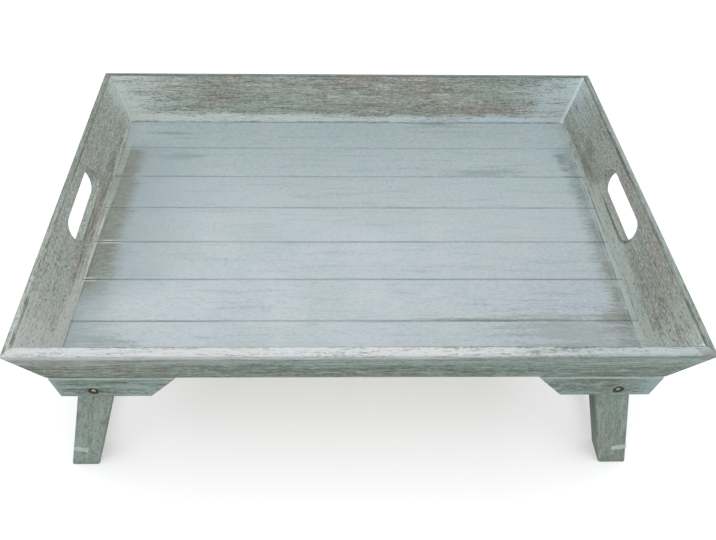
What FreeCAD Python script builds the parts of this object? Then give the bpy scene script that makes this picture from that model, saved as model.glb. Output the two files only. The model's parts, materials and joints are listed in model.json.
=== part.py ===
import FreeCAD, Part
import math
import os

import Sketcher

# Wooden bed tray with two folding leg frames, in millimetres.
# The origin lies on the ground under the tray's centre: +X to the right, +Y to the back, +Z up.

SIZES = {
    # Tray box, over the outer edges of its rim and up to its inner edge
    "rim_length": 500,
    "rim_depth": 350,
    "rim_height": 220,
    "wall_height": 51,
    "wall_slant": 16.5,
    "wall_board": 8,
    "rim_round": 1.8,
    # Floor panel in its rabbet, with the grooves that part its planks
    "floor_board": 4,
    "floor_seat": 4,
    "floor_gap": 0.2,
    "plank_pitch": 44,
    "groove_count": 6,
    "groove_width": 2,
    "groove_depth": 1.2,
    # Hand slot, measured down the slanted face from the inner edge of the rim to its middle
    "slot_length": 80,
    "slot_height": 21,
    "slot_drop": 22.5,
    "slot_chamfer": 1.2,
    # Bracket under each corner
    "bracket_length": 95.5,
    "bracket_height": 24,
    "bracket_board": 12,
    "bracket_bevel": 21.5,
    "bracket_taper": 3,
    "bracket_proud": 2,
    "bracket_inset": 1.5,
    "bracket_chamfer": 1,
    # Pivot, from the outer bottom edge of the side wall and the underside of the tray
    "pivot_inset": 32,
    "pivot_drop": 15.5,
    "bolt_width": 4,
    "bolt_tail": 1,
    "head_width": 7.6,
    "head_height": 2.2,
    "head_sink": 0.3,
    "fit_gap": 0.05,
    "side_play": 0.1,
    "spacer_width": 10,
    "spacer_board": 1,
    "washer_width": 9,
    "washer_board": 0.8,
    "nut_flats": 7,
    "nut_height": 3.2,
    "collar_width": 6.2,
    "collar_height": 1.6,
    # Leg, with the lean of its two edges from upright and its outer edge's distance from the pivot
    "leg_board": 24,
    "leg_inner_lean": 18.5,
    "leg_outer_lean": 17,
    "leg_outer": 13.5,
    "leg_gap": 0.3,
    "leg_chamfer": 1.2,
    # Stretcher in the notch of the legs' outer edges, with the height of its middle above the ground
    "rail_width": 13,
    "rail_board": 8,
    "rail_rise": 32,
    # Brads at the mitres and staples along the floor panel's edges
    "brad_length": 25,
    "brad_width": 1.2,
    "brad_board": 1,
    "brad_head_width": 2,
    "brad_head_height": 0.6,
    "brad_sink": 0.5,
    "staple_crown": 9,
    "staple_length": 8,
    "staple_wire": 1.2,
    "staple_board": 0.8,
    "staple_pitch": 60,
    "staple_count": 5,
    # How far a cut runs past what it cuts
    "overrun": 5,
}
BRAD_HEIGHT_SHARES = (0.3, 0.72)
NUT_SIDES = 6
NUT_START_ANGLE = 15
FULL_TURN = 360
QUARTER_TURN = 90
HALF_TURN = 180
UP = FreeCAD.Vector(0, 0, 1)
RIGHT = FreeCAD.Vector(1, 0, 0)

doc = FreeCAD.newDocument("tray_table")
sheet = doc.addObject("Spreadsheet::Sheet", "sizes")
for row, (name, number) in enumerate(SIZES.items(), start=1):
    sheet.set(f"A{row}", name)
    sheet.set(f"B{row}", str(number))
    sheet.setAlias(f"B{row}", name)
doc.recompute()


class Size:
    """A number together with the formula on the sheet's cells that gives it."""

    def __init__(self, text, value):
        self.text = text
        self.value = value

    def __add__(self, other):
        other = as_size(other)
        return Size(f"({self.text} + {other.text})", self.value + other.value)

    def __sub__(self, other):
        other = as_size(other)
        return Size(f"({self.text} - {other.text})", self.value - other.value)

    def __mul__(self, other):
        other = as_size(other)
        return Size(f"({self.text} * {other.text})", self.value * other.value)

    def __truediv__(self, other):
        other = as_size(other)
        return Size(f"({self.text} / {other.text})", self.value / other.value)

    def __neg__(self):
        return Size(f"(-1 * {self.text})", -self.value)

    __rmul__ = __mul__


def as_size(item):
    return item if isinstance(item, Size) else Size(f"{item:.9f}", item)


def sin(angle):
    return Size(f"sin({angle.text})", math.sin(math.radians(angle.value)))


def cos(angle):
    return Size(f"cos({angle.text})", math.cos(math.radians(angle.value)))


def tan(angle):
    return Size(f"tan({angle.text})", math.tan(math.radians(angle.value)))


class Cells:
    """The sheet's cells by their names."""

    def __getattr__(self, name):
        return Size(f"sizes.{name}", float(sheet.get(name)))


size = Cells()
ZERO = Size("0", 0)


# Places that several pieces share

slant = size.wall_slant
under_z = size.rim_height - size.wall_height
floor_z = under_z + size.floor_board


def outer_edge(span, height):
    """How far from the middle the outer face of a wall lies at a height."""
    rim_edge_z = size.rim_height - size.wall_board * sin(slant)
    return span / 2 - (rim_edge_z - height) * tan(slant)


def floor_edge(span):
    """How far from the middle the floor meets the inner face of a wall."""
    return outer_edge(span, floor_z) - size.wall_board / cos(slant)


def seat_edge(span):
    """How far from the middle the rabbet for the floor panel reaches."""
    return floor_edge(span) + size.floor_seat


pivot_x = outer_edge(size.rim_length, under_z) - size.pivot_inset
pivot_z = under_z - size.pivot_drop
bracket_face_y = outer_edge(size.rim_depth, under_z) + size.bracket_proud
bracket_back_y = bracket_face_y - size.bracket_board
leg_face_y = bracket_back_y - size.spacer_board - size.side_play
leg_back_y = leg_face_y - size.leg_board
washer_y = leg_back_y - size.side_play
nut_y = washer_y - size.washer_board
bolt_end_y = nut_y - size.nut_height - size.collar_height - size.bolt_tail
bolt_radius = size.bolt_width / 2
bore_radius = bolt_radius + size.fit_gap


# Sketches and features

def new_body(label, turn=0, at=(ZERO, ZERO, ZERO), tilt=FreeCAD.Rotation()):
    """A body turned about the upright axis, after a tilt, and set at a bound place."""
    body = doc.addObject("PartDesign::Body", label)
    body.Label = label
    place = FreeCAD.Vector(*(part.value for part in at))
    body.Placement = FreeCAD.Placement(place, FreeCAD.Rotation(UP, turn).multiply(tilt))
    for axis, part in zip("xyz", at):
        body.setExpression(f"Placement.Base.{axis}", part.text)
    return body


def sketch_on(body, role, name, shift=(ZERO, ZERO, ZERO)):
    """A sketch on one of the body's origin planes, shifted in that plane's own axes."""
    sketch = body.newObject("Sketcher::SketchObject", f"{body.Name}_{name}")
    plane = next(item for item in body.Origin.OriginFeatures if item.Role == role)
    sketch.AttachmentSupport = [(plane, "")]
    sketch.MapMode = "FlatFace"
    for axis, part in zip("xyz", shift):
        sketch.setExpression(f"AttachmentOffset.Base.{axis}", part.text)
    return sketch


def bind(sketch, constraint, size_value):
    index = sketch.addConstraint(constraint)
    sketch.setExpression(f"Constraints[{index}]", size_value.text)


def pin_point(sketch, edge, end, across, along):
    """Fix an edge's end at a bound distance from the sketch's origin."""
    if across is ZERO:
        sketch.addConstraint(Sketcher.Constraint("PointOnObject", edge, end, -2))
    else:
        bind(sketch, Sketcher.Constraint("DistanceX", -1, 1, edge, end, across.value), across)
    if along is ZERO:
        sketch.addConstraint(Sketcher.Constraint("PointOnObject", edge, end, -1))
    else:
        bind(sketch, Sketcher.Constraint("DistanceY", -1, 1, edge, end, along.value), along)


def vector(corner):
    return FreeCAD.Vector(corner[0].value, corner[1].value, 0)


def outline(sketch, corners):
    """A closed straight-edged outline through bound corners."""
    first = sketch.GeometryCount
    count = len(corners)
    for index in range(count):
        start, end = corners[index], corners[(index + 1) % count]
        sketch.addGeometry(Part.LineSegment(vector(start), vector(end)), False)
    for index in range(count):
        following = first + (index + 1) % count
        sketch.addConstraint(Sketcher.Constraint("Coincident", first + index, 2, following, 1))
    for index, (across, along) in enumerate(corners):
        pin_point(sketch, first + index, 1, across, along)


def circle(sketch, radius):
    """A circle about the sketch's origin."""
    middle = FreeCAD.Vector(0, 0, 0)
    edge = sketch.addGeometry(Part.Circle(middle, UP, radius.value), False)
    sketch.addConstraint(Sketcher.Constraint("Coincident", edge, 3, -1, 1))
    bind(sketch, Sketcher.Constraint("Radius", edge, radius.value), radius)


def round_ended_slot(sketch, length, height):
    """A level slot with half-round ends about the sketch's origin."""
    radius = height / 2
    reach = (length - height) / 2
    ends = []
    for side in (1, -1):
        middle = FreeCAD.Vector(side * reach.value, 0, 0)
        half_circle = Part.Circle(middle, UP, radius.value)
        start = math.radians(-side * QUARTER_TURN)
        arc = Part.ArcOfCircle(half_circle, start, start + math.pi)
        ends.append(sketch.addGeometry(arc, False))
    right, left = ends
    for (start, start_end), (finish, finish_end) in (((right, 2), (left, 1)), ((left, 2), (right, 1))):
        line = Part.LineSegment(sketch.getPoint(start, start_end), sketch.getPoint(finish, finish_end))
        edge = sketch.addGeometry(line, False)
        sketch.addConstraint(Sketcher.Constraint("Tangent", start, start_end, edge, 1))
        sketch.addConstraint(Sketcher.Constraint("Tangent", edge, 2, finish, finish_end))
    sketch.addConstraint(Sketcher.Constraint("Equal", right, left))
    pin_point(sketch, right, 3, reach, ZERO)
    pin_point(sketch, left, 3, -reach, ZERO)
    bind(sketch, Sketcher.Constraint("Radius", right, radius.value), radius)


def feature_of(body, kind, sketch):
    feature = body.newObject(f"PartDesign::{kind}", f"{sketch.Name}_{kind.lower()}")
    feature.Profile = sketch
    return feature


def pad(body, sketch, length):
    """A pad to both sides of its sketch."""
    feature = feature_of(body, "Pad", sketch)
    feature.SideType = "Symmetric"
    feature.setExpression("Length", length.text)
    return feature


def cut_through(body, sketch):
    """A pocket through everything on both sides of its sketch."""
    feature = feature_of(body, "Pocket", sketch)
    feature.SideType = "Symmetric"
    feature.Type = "ThroughAll"
    return feature


def revolve(body, kind, sketch):
    """A full turn of a sketch about its own upright axis."""
    feature = feature_of(body, kind, sketch)
    feature.ReferenceAxis = (sketch, ["V_Axis"])
    feature.Angle = FULL_TURN
    return feature


def ease_edges(body, kind, reach, wanted):
    """Fillet or chamfer the edges of the body's last feature that pass a test."""
    doc.recompute()
    base = body.Tip
    names = [f"Edge{index}" for index, edge in enumerate(base.Shape.Edges, start=1) if wanted(edge)]
    feature = body.newObject(f"PartDesign::{kind}", f"{body.Name}_{kind.lower()}")
    feature.Base = (base, names)
    feature.setExpression({"Fillet": "Radius", "Chamfer": "Size"}[kind], reach.text)
    return feature


def turned_piece(label, half_section, turn, at):
    """A piece turned about its own Y axis from a half section of radii and places along it."""
    body = new_body(label, turn, at)
    section = sketch_on(body, "XY_Plane", "section")
    outline(section, half_section)
    revolve(body, "Revolution", section)
    return body


def group(label, pieces):
    """One node of separate like pieces."""
    node = doc.addObject("Part::Compound", label)
    node.Label = label
    node.Links = pieces
    return node


# Tray box

def wall(label, out_span, run_span, turn, has_slot):
    """A leaning board that faces +X before its turn, mitred to meet its neighbours."""
    body = new_body(label, turn)
    rim_in = out_span / 2 - size.wall_board * cos(slant)
    section = sketch_on(body, "XZ_Plane", "section")
    outline(section, [
        (rim_in, size.rim_height),
        (out_span / 2, size.rim_height - size.wall_board * sin(slant)),
        (outer_edge(out_span, under_z), under_z),
        (seat_edge(out_span), under_z),
        (seat_edge(out_span), floor_z),
        (floor_edge(out_span), floor_z),
    ])
    pad(body, section, run_span + 2 * size.overrun)

    rim_low = size.rim_height.value - size.wall_board.value
    ease_edges(body, "Fillet", size.rim_round,
               lambda edge: edge.BoundBox.ZMin > rim_low and edge.Length > run_span.value)

    mitres = sketch_on(body, "XY_Plane", "mitres")
    past = 2 * size.overrun
    for side in (1, -1):
        outline(mitres, [
            (out_span / 2 + past, side * (run_span / 2 + past)),
            (out_span / 2 - size.wall_height, side * (run_span / 2 - size.wall_height)),
            (out_span / 2 - size.wall_height, side * (run_span / 2 + past)),
        ])
    cut_through(body, mitres)

    if has_slot:
        hand_slot(body, rim_in)
    return body


def hand_slot(body, rim_in):
    """A round-ended slot square to the leaning face, with softened edges."""
    middle_x = rim_in - size.slot_drop * sin(slant)
    middle_z = size.rim_height - size.slot_drop * cos(slant)
    slot = sketch_on(body, "YZ_Plane", "slot", (ZERO, middle_z, middle_x))
    slot.AttachmentOffset = FreeCAD.Placement(
        FreeCAD.Vector(0, middle_z.value, middle_x.value), FreeCAD.Rotation(RIGHT, slant.value))
    slot.setExpression("AttachmentOffset.Rotation.Angle", slant.text)
    round_ended_slot(slot, size.slot_length, size.slot_height)
    cut_through(body, slot)

    reach = size.slot_length.value / 2 + size.slot_chamfer.value
    low = under_z.value + size.slot_chamfer.value
    high = size.rim_height.value - size.rim_round.value
    ease_edges(body, "Chamfer", size.slot_chamfer, lambda edge: (
        abs(edge.BoundBox.YMin) < reach and abs(edge.BoundBox.YMax) < reach
        and low < edge.BoundBox.ZMin and edge.BoundBox.ZMax < high
        and edge.Length > size.wall_board.value + size.slot_chamfer.value))


def floor_panel(label):
    """The thin panel in the walls' rabbets, grooved along its length."""
    body = new_body(label)
    half_length = seat_edge(size.rim_length) - size.floor_gap
    half_depth = seat_edge(size.rim_depth) - size.floor_gap
    plan = sketch_on(body, "XY_Plane", "plan", (ZERO, ZERO, under_z + size.floor_board / 2))
    outline(plan, [
        (-half_length, -half_depth),
        (half_length, -half_depth),
        (half_length, half_depth),
        (-half_length, half_depth),
    ])
    pad(body, plan, size.floor_board)

    spread = size.plank_pitch * (size.groove_count - as_size(1))
    first_y = -(spread / 2)
    groove = sketch_on(body, "YZ_Plane", "groove")
    outline(groove, [
        (first_y, floor_z - size.groove_depth),
        (first_y + size.groove_width, floor_z + size.groove_depth),
        (first_y - size.groove_width, floor_z + size.groove_depth),
    ])
    first_groove = cut_through(body, groove)

    planks = body.newObject("PartDesign::LinearPattern", f"{label}_planks")
    planks.Originals = [first_groove]
    planks.Direction = (groove, ["H_Axis"])
    planks.setExpression("Length", spread.text)
    planks.setExpression("Occurrences", size.groove_count.text)
    body.Tip = planks
    return body


def bracket(label, side, turn):
    """A cheek board under a corner that faces +Y before its turn, with a countersunk pivot hole."""
    body = new_body(label, turn)
    outer_x = outer_edge(size.rim_length, under_z) - size.bracket_inset
    inner_x = outer_x - size.bracket_length
    low_z = under_z - size.bracket_height
    middle_y = bracket_face_y - size.bracket_board / 2
    cheek = sketch_on(body, "XZ_Plane", "cheek", (ZERO, ZERO, -middle_y))
    outline(cheek, [
        (side * outer_x, under_z),
        (side * (outer_x - size.bracket_taper), low_z),
        (side * (inner_x + size.bracket_bevel), low_z),
        (side * inner_x, under_z),
    ])
    pad(body, cheek, size.bracket_board)

    near_top = under_z.value - size.bracket_chamfer.value
    ease_edges(body, "Chamfer", size.bracket_chamfer, lambda edge: (
        edge.BoundBox.ZMin < near_top and edge.BoundBox.YLength < size.bracket_chamfer.value))

    hole = sketch_on(body, "XY_Plane", "hole", (side * pivot_x, ZERO, pivot_z))
    head_y = bracket_face_y - size.head_sink
    head_radius = size.head_width / 2 + size.fit_gap
    outline(hole, [
        (ZERO, bracket_back_y - size.overrun),
        (bore_radius, bracket_back_y - size.overrun),
        (bore_radius, head_y - size.head_height),
        (head_radius, head_y),
        (head_radius, bracket_face_y + size.overrun),
        (ZERO, bracket_face_y + size.overrun),
    ])
    revolve(body, "Groove", hole)
    return body


# Pivots, each at its own corner

def pivot_bolt(label, turn, at):
    head_y = bracket_face_y - size.head_sink
    return turned_piece(label, [
        (ZERO, bolt_end_y),
        (bolt_radius, bolt_end_y),
        (bolt_radius, head_y - size.head_height),
        (size.head_width / 2, head_y),
        (ZERO, head_y),
    ], turn, at)


def washer(label, turn, at, width, outer_y, board):
    return turned_piece(label, [
        (bore_radius, outer_y),
        (width / 2, outer_y),
        (width / 2, outer_y - board),
        (bore_radius, outer_y - board),
    ], turn, at)


def spacer(label, turn, at):
    return washer(label, turn, at, size.spacer_width, bracket_back_y, size.spacer_board)


def nut_washer(label, turn, at):
    return washer(label, turn, at, size.washer_width, washer_y, size.washer_board)


def lock_nut(label, turn, at):
    """A hexagon with the round collar that holds its locking ring."""
    body = new_body(label, turn, at)
    hexagon = sketch_on(body, "XZ_Plane", "hexagon", (ZERO, ZERO, size.nut_height / 2 - nut_y))
    corner_radius = size.nut_flats / 2 / math.cos(math.pi / NUT_SIDES)
    step = FULL_TURN / NUT_SIDES
    angles = [math.radians(NUT_START_ANGLE + step * index) for index in range(NUT_SIDES)]
    outline(hexagon, [(corner_radius * math.cos(angle), corner_radius * math.sin(angle)) for angle in angles])
    pad(body, hexagon, size.nut_height)

    collar = sketch_on(body, "XY_Plane", "collar")
    nut_end_y = nut_y - size.nut_height
    outline(collar, [
        (ZERO, nut_y),
        (size.collar_width / 2, nut_y),
        (size.collar_width / 2, nut_end_y - size.collar_height),
        (ZERO, nut_end_y - size.collar_height),
    ])
    revolve(body, "Revolution", collar)

    bore = sketch_on(body, "XZ_Plane", "bore")
    circle(bore, bore_radius)
    cut_through(body, bore)
    return body


def at_each_pivot(label, make):
    """One like piece at each of the four pivots."""
    pieces = []
    for number, (side, turn) in enumerate(((1, 0), (-1, 0), (1, HALF_TURN), (-1, HALF_TURN)), start=1):
        pieces.append(make(f"{label}_{number}", turn, (side * pivot_x, ZERO, pivot_z)))
    return group(f"{label}s", pieces)


# Brads and staples, whose points face -Y before they are placed

def driven_piece(label, silhouette, board, turn, at, tilt=FreeCAD.Rotation()):
    """A flat piece of wire, cut to a silhouette."""
    body = new_body(label, turn, at, tilt)
    shape = sketch_on(body, "XY_Plane", "shape")
    outline(shape, silhouette)
    pad(body, shape, board)
    return body


def mirrored(half):
    """A whole silhouette from its right half."""
    return half + [(-across, along) for across, along in reversed(half)]


def corner_brads(label):
    """Headed brads through the front and back walls into the middle of the side walls' boards."""
    shank = size.brad_width / 2
    head = size.brad_head_width / 2
    silhouette = mirrored([
        (head, ZERO),
        (head, -size.brad_head_height),
        (shank, -size.brad_head_height),
        (shank, -size.brad_length),
    ])
    pieces = []
    for share in BRAD_HEIGHT_SHARES:
        height = under_z + size.wall_height * share
        across = outer_edge(size.rim_length, height) - size.wall_board / cos(slant) / 2
        along = outer_edge(size.rim_depth, height) - size.brad_sink
        for side in (1, -1):
            for end, turn in ((1, 0), (-1, HALF_TURN)):
                name = f"{label}_{len(pieces) + 1}"
                at = (side * across, end * along, height)
                pieces.append(driven_piece(name, silhouette, size.brad_board, turn, at))
    return group(label, pieces)


def floor_staples(label):
    """Staples from below through the edges of the floor panel into the walls."""
    outer = size.staple_crown / 2
    inner = outer - size.staple_wire
    silhouette = mirrored([
        (outer, ZERO),
        (outer, -size.staple_length),
        (inner, -size.staple_length),
        (inner, -size.staple_wire),
    ])
    upward = FreeCAD.Rotation(RIGHT, -QUARTER_TURN)
    long_edge = floor_edge(size.rim_depth) + size.floor_seat / 2
    short_edge = floor_edge(size.rim_length) + size.floor_seat / 2
    pieces = []
    count = int(size.staple_count.value)
    for index in range(count):
        step = index - (count - 1) / 2
        run = size.staple_pitch * step if step else ZERO
        for side in (1, -1):
            places = (
                (0, (run, side * long_edge, under_z)),
                (QUARTER_TURN, (side * short_edge, run, under_z)),
            )
            for turn, at in places:
                name = f"{label}_{len(pieces) + 1}"
                pieces.append(driven_piece(name, silhouette, size.staple_board, turn, at, upward))
    return group(label, pieces)


# Leg frames, drawn about the pivot with +X outward

leg_reach = size.pivot_drop - size.leg_gap
inner_lean = size.leg_inner_lean
outer_lean = size.leg_outer_lean


def leg(label, turn, at):
    """A tapered leg whose top has a flat stop on its outer side and a round about the pivot on its inner."""
    body = new_body(label, turn, at)
    side = sketch_on(body, "XZ_Plane", "side")
    tangent = (-leg_reach * cos(inner_lean), -leg_reach * sin(inner_lean))
    inner_foot = ((pivot_z * sin(inner_lean) - leg_reach) / cos(inner_lean), -pivot_z)
    outer_foot = ((pivot_z * sin(outer_lean) + size.leg_outer) / cos(outer_lean), -pivot_z)
    outer_top = ((size.leg_outer - leg_reach * sin(outer_lean)) / cos(outer_lean), leg_reach)
    crown = (ZERO, leg_reach)
    corners = [tangent, inner_foot, outer_foot, outer_top, crown]
    for start, end in zip(corners, corners[1:]):
        side.addGeometry(Part.LineSegment(vector(start), vector(end)), False)
    for index, corner in enumerate(corners[1:-1]):
        side.addConstraint(Sketcher.Constraint("Coincident", index, 2, index + 1, 1))
        pin_point(side, index, 2, *corner)
    last = side.GeometryCount - 1
    pin_point(side, last, 2, *crown)
    round_top = Part.Circle(FreeCAD.Vector(0, 0, 0), UP, leg_reach.value)
    start, end = math.radians(QUARTER_TURN), math.radians(HALF_TURN + inner_lean.value)
    arc = side.addGeometry(Part.ArcOfCircle(round_top, start, end), False)
    side.addConstraint(Sketcher.Constraint("Coincident", arc, 3, -1, 1))
    side.addConstraint(Sketcher.Constraint("Coincident", arc, 1, last, 2))
    side.addConstraint(Sketcher.Constraint("Tangent", arc, 2, 0, 1))
    pad(body, side, size.leg_board)

    foot_z = size.leg_chamfer.value - pivot_z.value
    stop_z = leg_reach.value - size.leg_chamfer.value
    ease_edges(body, "Chamfer", size.leg_chamfer, lambda edge: (
        edge.BoundBox.YLength < size.leg_chamfer.value
        and edge.BoundBox.ZMax > foot_z and edge.BoundBox.ZMin < stop_z))

    bore = sketch_on(body, "XZ_Plane", "bore")
    circle(bore, bore_radius)
    cut_through(body, bore)

    notch = sketch_on(body, "XZ_Plane", "notch")
    outline(notch, rail_section(size.overrun))
    cut_through(body, notch)
    return body


def rail_section(proud):
    """The stretcher's section, square to the legs' outer edge and standing proud of it."""
    edge_run = (size.leg_outer * sin(outer_lean) + pivot_z - size.rail_rise) / cos(outer_lean)
    corners = []
    for depth, end in ((proud, -1), (proud, 1), (-size.rail_width, 1), (-size.rail_width, -1)):
        out = size.leg_outer + depth
        run = edge_run + end * size.rail_board / 2
        corners.append((out * cos(outer_lean) + run * sin(outer_lean),
                        out * sin(outer_lean) - run * cos(outer_lean)))
    return corners


def stretcher(label, turn, at):
    """A slat that joins two legs, flush with their outer edges and front and back faces."""
    body = new_body(label, turn, at)
    section = sketch_on(body, "XZ_Plane", "section")
    outline(section, rail_section(ZERO))
    pad(body, section, 2 * leg_face_y)
    return body


# The nodes

nodes = [
    wall("front_wall", size.rim_depth, size.rim_length, -QUARTER_TURN, False),
    wall("back_wall", size.rim_depth, size.rim_length, QUARTER_TURN, False),
    wall("left_wall", size.rim_length, size.rim_depth, HALF_TURN, True),
    wall("right_wall", size.rim_length, size.rim_depth, 0, True),
    floor_panel("floor_panel"),
    bracket("bracket_front_left", 1, HALF_TURN),
    bracket("bracket_front_right", -1, HALF_TURN),
    bracket("bracket_back_left", -1, 0),
    bracket("bracket_back_right", 1, 0),
    at_each_pivot("pivot_bolt", pivot_bolt),
    at_each_pivot("spacer_washer", spacer),
    at_each_pivot("nut_washer", nut_washer),
    at_each_pivot("lock_nut", lock_nut),
    corner_brads("corner_brads"),
    floor_staples("floor_staples"),
]
leg_y = leg_face_y - size.leg_board / 2
for side_name, side, turn in (("left", -1, HALF_TURN), ("right", 1, 0)):
    for end_name, end in (("front", -1), ("back", 1)):
        nodes.append(leg(f"leg_{end_name}_{side_name}", turn, (side * pivot_x, end * leg_y, pivot_z)))
    nodes.append(stretcher(f"stretcher_{side_name}", turn, (side * pivot_x, ZERO, pivot_z)))
doc.recompute()


# Every feature has to be sound, and every cut has to cut, before anything is written

for item in doc.Objects:
    if "Invalid" in item.State or "Error" in item.State:
        raise RuntimeError(f"{item.Label} failed: {item.State}")
    if item.TypeId in ("PartDesign::Pocket", "PartDesign::Groove"):
        if item.Shape.Volume >= item.BaseFeature.Shape.Volume:
            raise RuntimeError(f"{item.Label} cuts nothing")
for node in nodes:
    if node.Shape.isNull() or not node.Shape.isValid():
        raise RuntimeError(f"{node.Label} has no sound shape")

os.makedirs("parts", exist_ok=True)
for node in nodes:
    node.Shape.exportStep(f"parts/{node.Label}.step")
    box = node.Shape.BoundBox
    print(f"{node.Label}: {len(node.Shape.Solids)} solids, {node.Shape.Volume:.1f} mm3, "
          f"z {box.ZMin:.2f} to {box.ZMax:.2f}")
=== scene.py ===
import json
import math
from types import SimpleNamespace

import bmesh
import bpy
from mathutils import Matrix, Vector


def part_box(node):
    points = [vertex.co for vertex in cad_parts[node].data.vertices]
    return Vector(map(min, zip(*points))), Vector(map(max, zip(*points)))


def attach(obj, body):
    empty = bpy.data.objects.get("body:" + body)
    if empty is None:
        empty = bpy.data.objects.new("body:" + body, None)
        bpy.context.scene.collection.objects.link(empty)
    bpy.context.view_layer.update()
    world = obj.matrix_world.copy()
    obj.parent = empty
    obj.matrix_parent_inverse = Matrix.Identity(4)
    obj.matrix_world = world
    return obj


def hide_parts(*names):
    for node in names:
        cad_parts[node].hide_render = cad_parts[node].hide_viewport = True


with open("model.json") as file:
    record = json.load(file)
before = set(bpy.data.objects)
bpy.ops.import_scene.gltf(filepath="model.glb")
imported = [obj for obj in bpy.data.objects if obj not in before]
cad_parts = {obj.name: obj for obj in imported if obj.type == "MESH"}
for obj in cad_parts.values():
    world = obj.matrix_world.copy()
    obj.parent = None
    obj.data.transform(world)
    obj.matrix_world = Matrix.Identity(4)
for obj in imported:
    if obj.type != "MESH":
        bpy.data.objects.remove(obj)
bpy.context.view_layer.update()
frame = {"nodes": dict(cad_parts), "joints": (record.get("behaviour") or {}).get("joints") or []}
nodes = frame["nodes"]

# Places of the tray, read from the frame, in metres.
# The origin lies on the ground under the tray's centre: +X to the right, +Y to the back, +Z up.
RIM_X, RIM_Y, RIM_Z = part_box("back_wall")[1]
UNDER_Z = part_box("floor_panel")[0].z
FLOOR_X, FLOOR_Y, FLOOR_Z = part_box("floor_panel")[1]
FLOOR_LIP = 0.0038
FLOOR_EDGE_X = FLOOR_X - FLOOR_LIP
FLOOR_EDGE_Y = FLOOR_Y - FLOOR_LIP
MITRE_SHIFT = RIM_X - RIM_Y
PLANK_PITCH = 0.044
RIM_WIDTH = 0.0077
WALL_LEAN = math.radians(16.5)
SLOT_DROP = 0.0225
SLOT_RADIUS = 0.0105
SLOT_HALF_RUN = 0.0295
LEG_LEAN = math.radians(17.7)
PIVOT_X, PIVOT_Z = (abs(frame["joints"][0]["pos_m"][axis]) for axis in (0, 2))
HEAD_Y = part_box("pivot_bolts")[1].y
NUT_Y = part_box("lock_nuts")[1].y


# Short ways to add shader nodes and join them

class Wiring:
    """A node tree, to which nodes are added with their sockets already joined or set."""

    def __init__(self, tree):
        self.tree = tree

    def add(self, kind, sockets=(), **settings):
        node = self.tree.nodes.new("ShaderNode" + kind)
        for name, value in settings.items():
            setattr(node, name, value)
        for name, value in dict(sockets).items():
            self.join(value, node.inputs[name])
        return node

    def join(self, value, socket):
        if isinstance(value, bpy.types.NodeSocket):
            self.tree.links.new(value, socket)
        else:
            socket.default_value = value

    def use(self, effect, **sockets):
        """Place a shared effect and give its outputs."""
        node = self.add("Group", node_tree=effect)
        for name, value in sockets.items():
            self.join(value, node.inputs[name])
        return node.outputs

    def math(self, operation, *values):
        return self.add("Math", enumerate(values), operation=operation).outputs[0]

    def sum(self, *values):
        total = values[0]
        for value in values[1:]:
            total = self.math("ADD", total, value)
        return total

    def product(self, *values):
        """Values multiplied; a tuple among them stands for a rise."""
        factors = [self.rise(*value) if isinstance(value, tuple) else value for value in values]
        total = factors[0]
        for factor in factors[1:]:
            total = self.math("MULTIPLY", total, factor)
        return total

    def less(self, value, part):
        return self.math("SUBTRACT", value, part)

    def rest(self, share):
        """What a share leaves of the whole."""
        return self.less(1.0, share)

    def size(self, value):
        return self.math("ABSOLUTE", value)

    def greater(self, first, second):
        return self.math("MAXIMUM", first, second)

    def apart(self, across, up):
        """Length of the line that spans two lengths square to each other."""
        return self.math("SQRT", self.sum(self.product(across, across), self.product(up, up)))

    def sway(self, value, reach):
        """A noise value made to swing about zero."""
        return self.math("MULTIPLY_ADD", value, 2 * reach, -reach)

    def rise(self, value, low, high):
        """0 at low, 1 at high and smooth between; it falls where low is the greater."""
        sockets = {"Value": value, "From Min": low, "From Max": high}
        return self.add("MapRange", sockets, interpolation_type="SMOOTHSTEP").outputs[0]

    def span(self, value, low, high):
        """A value from 0 to 1 stretched to run from low to high."""
        return self.add("MapRange", {"Value": value, "To Min": low, "To Max": high}).outputs[0]

    def ramp(self, value, start, end, low, high):
        """A rise from start to end, stretched to run from low to high."""
        return self.span(self.rise(value, start, end), low, high)

    def blend(self, share, first, second):
        return self.add("Mix", {0: share, 2: first, 3: second}).outputs[0]

    def tint(self, share, first, second):
        return self.add("Mix", {0: share, 6: first, 7: second}, data_type="RGBA").outputs[2]

    def split(self, vector):
        return self.add("SeparateXYZ", {0: vector}).outputs

    def combine(self, *parts):
        return self.add("CombineXYZ", enumerate(parts)).outputs[0]

    def noise(self, place, cell, detail=2.0, roughness=0.5, distortion=0.0):
        """Cloudy noise whose cells have the given size in metres along X, Y and Z."""
        scaled = self.add("VectorMath", {0: place, 1: cell}, operation="DIVIDE").outputs[0]
        sockets = {"Vector": scaled, "Scale": 1.0, "Detail": detail, "Roughness": roughness,
                   "Distortion": distortion}
        return self.add("TexNoise", sockets).outputs[0]


def tone(red, green, blue):
    """A colour from its screen values of 0 to 255."""
    parts = []
    for part in (red, green, blue):
        share = part / 255
        parts.append(share / 12.92 if share <= 0.04045 else ((share + 0.055) / 1.055) ** 2.4)
    return (*parts, 1.0)


SOCKET_KINDS = {"value": "NodeSocketFloat", "vector": "NodeSocketVector", "colour": "NodeSocketColor"}


def shared_effect(name, inputs, outputs, make):
    """A node group with named sockets, which make joins up."""
    tree = bpy.data.node_groups.new(name, "ShaderNodeTree")
    for in_out, sockets in (("INPUT", inputs), ("OUTPUT", outputs)):
        for label, kind in sockets.items():
            tree.interface.new_socket(name=label, in_out=in_out, socket_type=SOCKET_KINDS[kind])
    net = Wiring(tree)
    given = tree.nodes.new("NodeGroupInput").outputs
    result = tree.nodes.new("NodeGroupOutput").inputs
    for label, value in make(net, given).items():
        net.join(value, result[label])
    return tree


# Effects that several finishes share

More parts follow.
